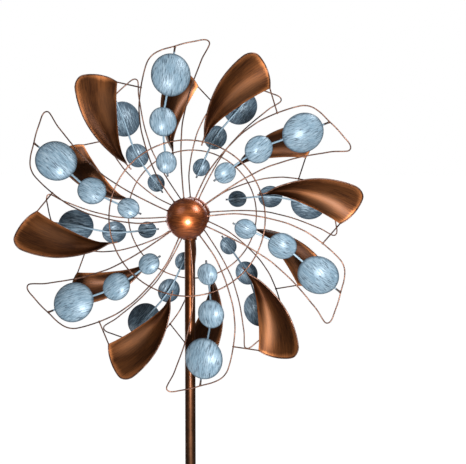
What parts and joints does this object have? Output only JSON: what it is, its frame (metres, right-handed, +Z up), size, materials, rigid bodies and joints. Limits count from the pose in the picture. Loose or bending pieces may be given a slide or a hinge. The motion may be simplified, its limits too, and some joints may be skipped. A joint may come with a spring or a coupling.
{
  "type": "wind spinner",
  "caption": "Garden wind spinner: two coaxial wire-frame rotors with domed discs and cupped vanes on a stake pole, each free to spin about a horizontal axle.",
  "frame": {"origin": "on the pole's centre line at the ground line, the underside of the stake's collar", "axes": "+Z up along the pole; +Y along the rotor axle from the front rotor to the back rotor; +X to the right as seen from the front"},
  "size_m": [0.6058, 0.2367, 2.032],
  "materials": {
    "bronze_finish": "dark bronze metallic coating",
    "hub_copper": "satin copper coating",
    "vane_copper": "brushed antique copper coating",
    "disc_blue": "streaked powder-blue coating, semi-gloss",
    "steel": "plain steel"
  },
  "bodies": {
    "stand": {"pole_foot": "bronze_finish", "pole_mid": "bronze_finish", "pole_top": "bronze_finish", "pole_head": "bronze_finish", "screws": "steel", "collar": "bronze_finish", "spike": "bronze_finish", "tines": "bronze_finish", "axle": "steel", "spacers": "bronze_finish", "washers": "steel", "nuts": "steel"},
    "front_rotor": {"front_hub": "hub_copper", "front_dome": "hub_copper", "front_bearings": "steel", "front_ring": "bronze_finish", "front_vane_wires": "bronze_finish", "front_petal_1": "bronze_finish", "front_petal_2": "bronze_finish", "front_petal_3": "bronze_finish", "front_petal_4": "bronze_finish", "front_petal_5": "bronze_finish", "front_petal_6": "bronze_finish", "front_discs_1": "disc_blue", "front_discs_2": "disc_blue", "front_discs_3": "disc_blue", "front_discs_4": "disc_blue", "front_discs_5": "disc_blue", "front_discs_6": "disc_blue", "front_vane_1": "vane_copper", "front_vane_2": "vane_copper", "front_vane_3": "vane_copper", "front_vane_4": "vane_copper", "front_vane_5": "vane_copper", "front_vane_6": "vane_copper", "front_rods": "disc_blue"},
    "back_rotor": {"back_hub": "hub_copper", "back_dome": "hub_copper", "back_bearings": "steel", "back_ring": "bronze_finish", "back_vane_wires": "bronze_finish", "back_petal_1": "bronze_finish", "back_petal_2": "bronze_finish", "back_petal_3": "bronze_finish", "back_petal_4": "bronze_finish", "back_petal_5": "bronze_finish", "back_petal_6": "bronze_finish", "back_discs_1": "disc_blue", "back_discs_2": "disc_blue", "back_discs_3": "disc_blue", "back_discs_4": "disc_blue", "back_discs_5": "disc_blue", "back_discs_6": "disc_blue", "back_vane_1": "vane_copper", "back_vane_2": "vane_copper", "back_vane_3": "vane_copper", "back_vane_4": "vane_copper", "back_vane_5": "vane_copper", "back_vane_6": "vane_copper", "back_rods": "disc_blue"}
  },
  "joints": [
    {"name": "front_spin", "type": "hinge", "parent": "stand", "child": "front_rotor", "pos_m": [0, -0.082, 1.47], "axis": [0, 1, 0], "continuous": true},
    {"name": "back_spin", "type": "hinge", "parent": "stand", "child": "back_rotor", "pos_m": [0, 0.082, 1.47], "axis": [0, 1, 0], "continuous": true}
  ]
}
